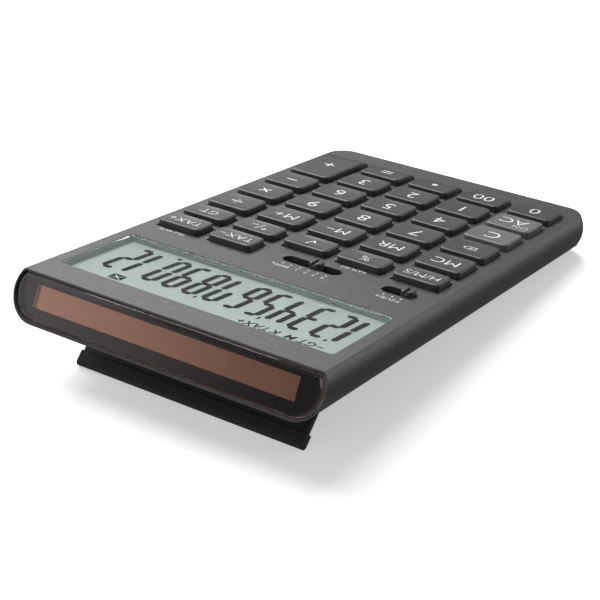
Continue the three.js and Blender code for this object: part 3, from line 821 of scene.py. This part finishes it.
# %% Switch knobs, lower case, door, stand, feet and screws
CORNERS = ("front_left", "front_right", "rear_left", "rear_right")
SCREWS = ["battery_door_screw"] + [f"case_screw_{number}" for number in (1, 2, 3, 4)]
UNDERSIDE_PARTS = [
    ("lower_case", "lower_case_moulding", LOWER_FINISH, "case_plastic", 0.12),
    ("battery_door", "battery_cover", LOWER_FINISH, "case_plastic", 0.12),
    ("tilt_stand", "stand_leaf", BLACK_FINISH, "black_plastic", 0.18),
    ("stand_foot", "stand_foot_grip", RUBBER_FINISH, "rubber", 0.15),
]
for switch in SLOTS:
    refine(f"{switch}_switch_knob", f"{switch}_slide_knob", KEY_FINISH, "key_plastic", 0.2, 3, 50)
for part in UNDERSIDE_PARTS:
    refine(*part)
for corner in CORNERS:
    refine(f"rubber_foot_{corner}", f"foot_pad_{corner}", RUBBER_FINISH, "rubber", 0.12)
for screw in SCREWS:
    refine(screw, f"{screw}_plated", STEEL_FINISH, "steel", 0.06)
print(len(SLOTS) + len(UNDERSIDE_PARTS) + len(CORNERS) + len(SCREWS), "CAD parts refined")

# %% Inner parts that keep their CAD shapes
INNER_FINISHES = {
    "circuit_board": BOARD_FINISH,
    "key_mat": SILICONE_FINISH,
    "lcd_ribbon": RIBBON_FINISH,
    "button_cell": STEEL_FINISH,
    "battery_contact_minus": STEEL_FINISH,
    "battery_contact_plus": STEEL_FINISH,
    "decimal_switch_wiper": BRASS_FINISH,
    "rounding_switch_wiper": BRASS_FINISH,
}
for node, finish in INNER_FINISHES.items():
    for material_slot in frame["nodes"][node].material_slots:
        material_slot.material = finish
print(len(INNER_FINISHES), "inner parts finished")

# %% [markdown]
# ## Display
#
# Under a clear acrylic pane lies a glass liquid-crystal cell in a grey-green holder. The holder steps
# down towards the glass, and its ledges show as fine pale lines between dark bands.

# %% Acrylic that lets light through
def polished_acrylic(name, tint):
    """Acrylic sheet, polished: IOR 1.49. Lamps reach what is behind it through a transparent shader,
    because a path of light bent twice by a pane is too rare to be found."""
    finish, tree, shader = new_finish(name, tint, 0.0, IOR=1.49, Transmission_Weight=1.0)
    clear = add_node(tree, "ShaderNodeBsdfTransparent", {"Color": linear(tint)})
    path = add_node(tree, "ShaderNodeLightPath")
    choice = {0: path.outputs["Is Shadow Ray"], 1: shader.outputs[0], 2: clear.outputs[0]}
    both = add_node(tree, "ShaderNodeMixShader", choice)
    tree.links.new(both.outputs[0], tree.nodes["Material Output"].inputs["Surface"])
    return finish


CLEAR_FINISH = polished_acrylic("acrylic_clear_polished", "#f8faf9")
TINTED_FINISH = polished_acrylic("acrylic_smoke_brown_polished", "#cdbcb6")

# %% Lens
TIGHTEST_CORNER = 0.2


def rim_outline(inset):
    return rounded_outline(WINDOW[0] / 2 - inset, WINDOW[1] / 2 - inset,
                           max(WINDOW_CORNER - inset, TIGHTEST_CORNER), 6, 0) + [0, DISPLAY_Y]


LENS_INSET = 0.15
LENS_BEVEL = 0.02
lens_profile = [
    (LENS_INSET, LENS_BOTTOM),
    (LENS_INSET, LENS_TOP - LENS_BEVEL),
    (LENS_INSET + LENS_BEVEL, LENS_TOP),
]
make_piece("display_pane", *skin([at_height(rim_outline(inset), z) for inset, z in lens_profile]),
           CLEAR_FINISH, slot="clear_acrylic", replaces=["display_lens"])

# %% Holder with ledges
HOLDER_FINISH = clouded("abs_grey_green_holder", "#4a5551", "#57625e", 0.55, 1.2, 0.3, 0.01, IOR=1.52)
HOLDER_TOP = LENS_BOTTOM - 0.1
HOLDER_BOTTOM = 8.7
LEDGE_BOTTOM = LCD_TOP + 0.1
holder_profile = [
    (-2.8, HOLDER_BOTTOM), (-2.8, 12.25), (0.15, 12.25), (0.2, 12.3), (0.2, HOLDER_TOP), (0.62, HOLDER_TOP),
    (0.68, 12.75), (1.05, 12.68), (1.12, 12.2), (1.45, 12.12), (1.5, LEDGE_BOTTOM), (-1.75, LEDGE_BOTTOM),
    (-1.75, HOLDER_BOTTOM),
]


def ring_around(profile):
    """A closed profile of inset and height, carried round the window: a frame with no ends."""
    rings = np.array([at_height(rim_outline(inset), z) for inset, z in profile])
    return rings.reshape(-1, 3), loop_faces(*rings.shape[:2])


make_piece("display_holder", *ring_around(holder_profile), HOLDER_FINISH, slot="holder_plastic",
           replaces=["lcd_holder"], crisp=25)

# %% [markdown]
# The liquid-crystal cell shows slanted seven-segment digits. Each segment is a thin bar with pointed
# ends, and a digit is the list of its lit segments. All segments are formulas of a digit's width,
# height and stroke, and the slant moves every point sideways in proportion to its height.

# %% Liquid-crystal glass
LCD_FINISH = clouded("lcd_polariser_grey_green", "#78817e", "#808986", 0.28, 14.0, 0.2, 0)
PLATE = 1.0
GLASS_REACH = 1.65
POLARISER_INSET = 0.25
glass_profile = [
    (0, LCD_TOP - 1.9), (0, LCD_TOP - PLATE), (0.12, LCD_TOP - PLATE + 0.05), (0.12, LCD_TOP - 0.2),
    (POLARISER_INSET, LCD_TOP - 0.16), (POLARISER_INSET, LCD_TOP),
]


def glass_outline(inset):
    half = np.array(WINDOW) / 2 + GLASS_REACH - inset
    return rounded_outline(*half, 0.3, 4, 0) + [0, DISPLAY_Y]


make_piece("lcd_glass_cell", *skin([at_height(glass_outline(inset), z) for inset, z in glass_profile]),
           LCD_FINISH, slot="lcd_glass", replaces=["lcd_panel"])

# %% Slanted seven-segment digits
DIGIT_WIDTH = 5.6
DIGIT_HEIGHT = 20.2
DIGIT_PITCH = 7.25
STROKE = 1.9
SEGMENT_GAP = 0.12
SEGMENT_HALF = 0.02
TIP_SHARE = 0.8
SLANT = 0.06
DIGITS_LEFT = -45.9
DIGITS_FRONT = 137.0
LIT = {
    "0": "abcdef", "1": "bc", "2": "abged", "3": "abgcd", "4": "fgbc", "5": "afgcd",
    "6": "afgcde", "7": "abcf", "8": "abcdefg", "9": "abcdfg",
}
POINT_PLACE = (DIGIT_WIDTH + 0.8, -0.3)
POINT_RADIUS = 0.85
TICK = [[0, 0], [0.75, 0], [0.75, 1.9], [0, 1.4]]
TICK_PLACE = [DIGIT_WIDTH + 0.4, DIGIT_HEIGHT - 1.0]
SHOWN = ["1'", "2", "3", "4'", "5", "6", "7'", "8", "9", "0.", "1", "2"]


def segment_outline(which):
    """One segment in a digit's own box. A bar runs between the middle lines of its neighbours, less a
    small gap, and comes to a blunt point at both ends."""
    middle = DIGIT_HEIGHT / 2
    half = STROKE / 2
    tip = half * TIP_SHARE
    if which in "adg":
        y = {"a": DIGIT_HEIGHT - half, "g": middle, "d": half}[which]
        reach = DIGIT_WIDTH / 2 - half - SEGMENT_GAP
        low, high = DIGIT_WIDTH / 2 - reach, DIGIT_WIDTH / 2 + reach
        return np.array([[low, y], [low + tip, y - half], [high - tip, y - half],
                         [high, y], [high - tip, y + half], [low + tip, y + half]])
    x = half if which in "ef" else DIGIT_WIDTH - half
    low, high = middle + SEGMENT_GAP, DIGIT_HEIGHT - half - SEGMENT_GAP
    if which in "ec":
        low, high = half + SEGMENT_GAP, middle - SEGMENT_GAP
    return np.array([[x, low], [x + half, low + tip], [x + half, high - tip],
                     [x, high], [x - half, high - tip], [x - half, low + tip]])


def slanted(outline, left):
    x, y = np.asarray(outline, float).T
    return np.column_stack([left + x + SLANT * y, DIGITS_FRONT + y])


def digit_outlines():
    outlines = []
    for place, shown in enumerate(SHOWN):
        left = DIGITS_LEFT + place * DIGIT_PITCH
        outlines += [slanted(segment_outline(which), left) for which in LIT[shown[0]]]
        if "." in shown:
            outlines.append(slanted(circle(*POINT_PLACE, POINT_RADIUS, 16), left))
        if "'" in shown:
            outlines.append(slanted(np.add(TICK, TICK_PLACE), left))
    return outlines


# The segments lie between the glasses, with no air over them, so they have no gloss of their own.
SEGMENT_FINISH = clouded("lcd_segment_black", "#050706", "#090b0a", 0.6, 3.0, 0.2, 0, Specular_IOR_Level=0.0)
SEGMENT_LEVELS = (LCD_TOP - SEGMENT_HALF, LCD_TOP + SEGMENT_HALF)
make_piece("lcd_digits", *prisms(digit_outlines(), *SEGMENT_LEVELS), SEGMENT_FINISH,
           slot="lcd_glass", crisp=20)
print(len(SHOWN), "digits of up to seven segments")

# %% Small signs of the display
ANNUNCIATOR_Y = 161.9
ANNUNCIATOR_HEIGHT = 2.8
ANNUNCIATOR_WEIGHT = 0.08
ANNUNCIATOR_SLANT = 0.25
ANNUNCIATORS = [("−", -39.8), ("GT", -35.4), ("M", -30.3), ("K", -25.2), ("TAX+", -18.1)]
films = [(*text_points(text, ANNUNCIATOR_HEIGHT, ANNUNCIATOR_WEIGHT, ANNUNCIATOR_SLANT), x, ANNUNCIATOR_Y)
         for text, x in ANNUNCIATORS]
make_piece("lcd_annunciators", *ink_film(films, level(LCD_TOP)), SEGMENT_FINISH, slot="lcd_glass", crisp=20)
print(len(ANNUNCIATORS), "small signs")

# %% The power sign: a dark box with a pale cross
# Four wedges, one on each side of the box, stop short of its corners and its middle, and what is left
# free between them is the cross.
WEDGE_EDGE = 0.97
WEDGE_POINT = 0.09
WEDGE_SHIFT = 0.02
POWER_SIGN = np.array([30.3, 160.9])
POWER_HALF = np.array([2.3, 1.9])
corner_ring = np.array([[-1, -1], [1, -1], [1, 1], [-1, 1]]) * POWER_HALF
wedges = [
    np.array([a * WEDGE_EDGE, b * WEDGE_EDGE, (a + b) * WEDGE_POINT]) + (a + b) * WEDGE_SHIFT + POWER_SIGN
    for a, b in zip(corner_ring, np.roll(corner_ring, -1, 0))
]
make_piece("lcd_power_sign", *prisms(wedges, *SEGMENT_LEVELS), SEGMENT_FINISH, slot="lcd_glass", crisp=20)
print("power sign of", len(wedges), "wedges")

# %% [markdown]
# ## Solar end
#
# The rear face is closed by a tinted acrylic window with a rounded rim, held in a thin collar of the
# case. Behind it lies the solar cell, a copper-brown film on glass, divided by fine scribed lines.

# %% Tinted acrylic window
WINDOW_INSET = 0.65
WINDOW_ROUND = 1.6
WINDOW_THICKNESS = 2.15
turns = np.linspace(0, math.pi / 2, 8)
flat_rim = WINDOW_INSET + WINDOW_ROUND + 0.1  # where the round has run out into the flat face
insets = [WINDOW_INSET, *(WINDOW_INSET + WINDOW_ROUND * (1 - np.cos(turns))), flat_rim]
depths = [WINDOW_THICKNESS, *(WINDOW_ROUND * (1 - np.sin(turns))), 0]
make_piece("solar_pane", *skin(rear_rings(insets, depths)), TINTED_FINISH, slot="tinted_acrylic",
           replaces=["solar_window"], crisp=40)

# %% [markdown]
# Behind the window everything but the cell is hidden by a printed mask. The cell itself is a film of
# amorphous silicon on glass, copper brown, cut into four strips in series by scribed lines no wider
# than a hair, with a paler silver strip at one end where its contact comes out.

# %% Mask and solar cell
MASK_FINISH = clouded("screen_printed_black_mask", "#0d090a", "#110c0d", 0.6, 3.0, 0.2, 0,
                      Specular_IOR_Level=0.0)
SOLAR_FINISH = clouded("amorphous_silicon_film", "#dab9a0", "#e4c2a9", 0.2, 25.0, 0.2, 0, Metallic=0.8)
CONTACT_FINISH = clouded("silver_contact_paste", "#6f6968", "#7a7473", 0.45, 1.0, 0.2, 0.005)
CELL_ENDS = (-43.8, 44.2)
CELL_HEIGHTS = (4.0, 10.4)
CELL_STRIPS = 4
SCRIBE = 0.07
CONTACT_WIDTH = 1.5
CELL_DEPTHS = (2.17, 2.22)
MASK_DEPTHS = (2.32, 2.24)
MASK_INSET = 0.9


def upright_plates(spans, heights, near, far):
    """Plates side by side along X, parallel to the leaning rear face, between two depths inside it."""
    points, faces, first = [], [], 0
    low, high = heights
    for left, right in spans:
        corners = np.array([[right, low], [left, low], [left, high], [right, high]])
        for depth in (far, near):
            y = rear_plane(corners[:, 1], depth)
            points.append(np.column_stack([corners[:, 0], y, corners[:, 1]]))
        faces += [[first + i for i in face] for face in ring_faces(2, 4)]
        first += 8
    return np.vstack(points), faces


make_piece("solar_mask", *skin(rear_rings([MASK_INSET, MASK_INSET], MASK_DEPTHS)), MASK_FINISH,
           slot="tinted_acrylic")
strip = (CELL_ENDS[1] - CELL_ENDS[0]) / CELL_STRIPS
strips = [(CELL_ENDS[0] + strip * i + SCRIBE / 2, CELL_ENDS[0] + strip * (i + 1) - SCRIBE / 2)
          for i in range(CELL_STRIPS)]
make_piece("solar_cell_film", *upright_plates(strips, CELL_HEIGHTS, *CELL_DEPTHS), SOLAR_FINISH,
           slot="solar_film", replaces=["solar_cell"])
contact = [(CELL_ENDS[1], CELL_ENDS[1] + CONTACT_WIDTH)]
make_piece("solar_cell_contact", *upright_plates(contact, CELL_HEIGHTS, *CELL_DEPTHS), CONTACT_FINISH,
           slot="solar_film")
print("solar cell of", CELL_STRIPS, "strips,", round(strip, 1), "mm each")

# %% [markdown]
# ## Floor, light and world
#
# The table is a matt white sheet that glows a little of its own, as a product table lit from below
# does, so it stays pale under the case. The object's own surfaces don't pick that glow up, which keeps
# its sides dark. Large soft lamps stand round it, and the room is bright on one side only, so that the
# long round side of the case has a bright and a dark part.

# %% Floor
FLOOR_REACH = 30.0
FLOOR_GLOW = 0.45


def add_floor():
    glow = {"Emission_Color": linear("#ffffff"), "Emission_Strength": FLOOR_GLOW}
    finish = new_finish("matt_white_light_table", "#d2d2d0", 0.7, **glow)[0]
    mesh = bpy.data.meshes.new("floor")
    signs = ((-1, -1), (1, -1), (1, 1), (-1, 1))
    mesh.from_pydata([(x * FLOOR_REACH, y * FLOOR_REACH, 0) for x, y in signs], [], [(0, 1, 2, 3)])
    mesh.materials.append(finish)
    floor = bpy.data.objects.new("floor", mesh)
    bpy.context.scene.collection.objects.link(floor)
    floor.visible_diffuse = False
    floor.visible_glossy = False


add_floor()
print("floor", 2 * FLOOR_REACH, "m wide")

# %% Soft lamps
LAMP_TARGET = (0, 0, 0)
SOFTBOXES = [
    ("overhead_softbox", (0.45, -0.1, 1.05), (1.1, 1.1), 20),
    ("side_strip_softbox", (-1.0, -1.05, 0.34), (0.9, 0.25), 6),
    ("near_softbox", (-0.2, 1.2, 0.8), (0.8, 0.5), 2.5),
    ("far_left_softbox", (0.75, -0.8, 0.95), (0.7, 0.7), 9),
]


def add_softbox(name, place, size, power):
    """A rectangular lamp of that size in metres and power in watts, facing the object."""
    data = bpy.data.lights.new(name, "AREA")
    data.shape = "RECTANGLE"
    data.size, data.size_y = size
    data.energy = power
    lamp = bpy.data.objects.new(name, data)
    bpy.context.scene.collection.objects.link(lamp)
    lamp.location = place
    lamp.rotation_euler = (Vector(LAMP_TARGET) - Vector(place)).to_track_quat("-Z", "Y").to_euler()


for softbox in SOFTBOXES:
    add_softbox(*softbox)
print(len(SOFTBOXES), "soft lamps")

# %% Room
WINDOW_DIRECTION = (1.0, 0.1, 0.0)
ROOM_GLOW = (0.2, 1.2)
GLOW_EDGES = (0.53, 0.74)


def add_studio():
    """A room that glows on the +X side and is dim elsewhere, with a smooth change: the glow follows a
    direction's dot product with the direction of the window."""
    world = bpy.data.worlds.new("studio")
    world.use_nodes = True
    tree = world.node_tree
    towards = add_node(tree, "ShaderNodeTexCoord").outputs["Generated"]
    both = {0: towards, 1: WINDOW_DIRECTION}
    window = add_node(tree, "ShaderNodeVectorMath", both, operation="DOT_PRODUCT")
    limits = {"Value": window.outputs["Value"], 1: GLOW_EDGES[0], 2: GLOW_EDGES[1],
              3: ROOM_GLOW[0], 4: ROOM_GLOW[1]}
    glow = add_node(tree, "ShaderNodeMapRange", limits, interpolation_type="SMOOTHSTEP")
    background = tree.nodes["Background"]
    background.inputs["Color"].default_value = (1, 1, 1, 1)
    tree.links.new(glow.outputs[0], background.inputs["Strength"])
    bpy.context.scene.world = world


add_studio()
bpy.context.scene.view_settings.view_transform = "Standard"
print("room glow", ROOM_GLOW)
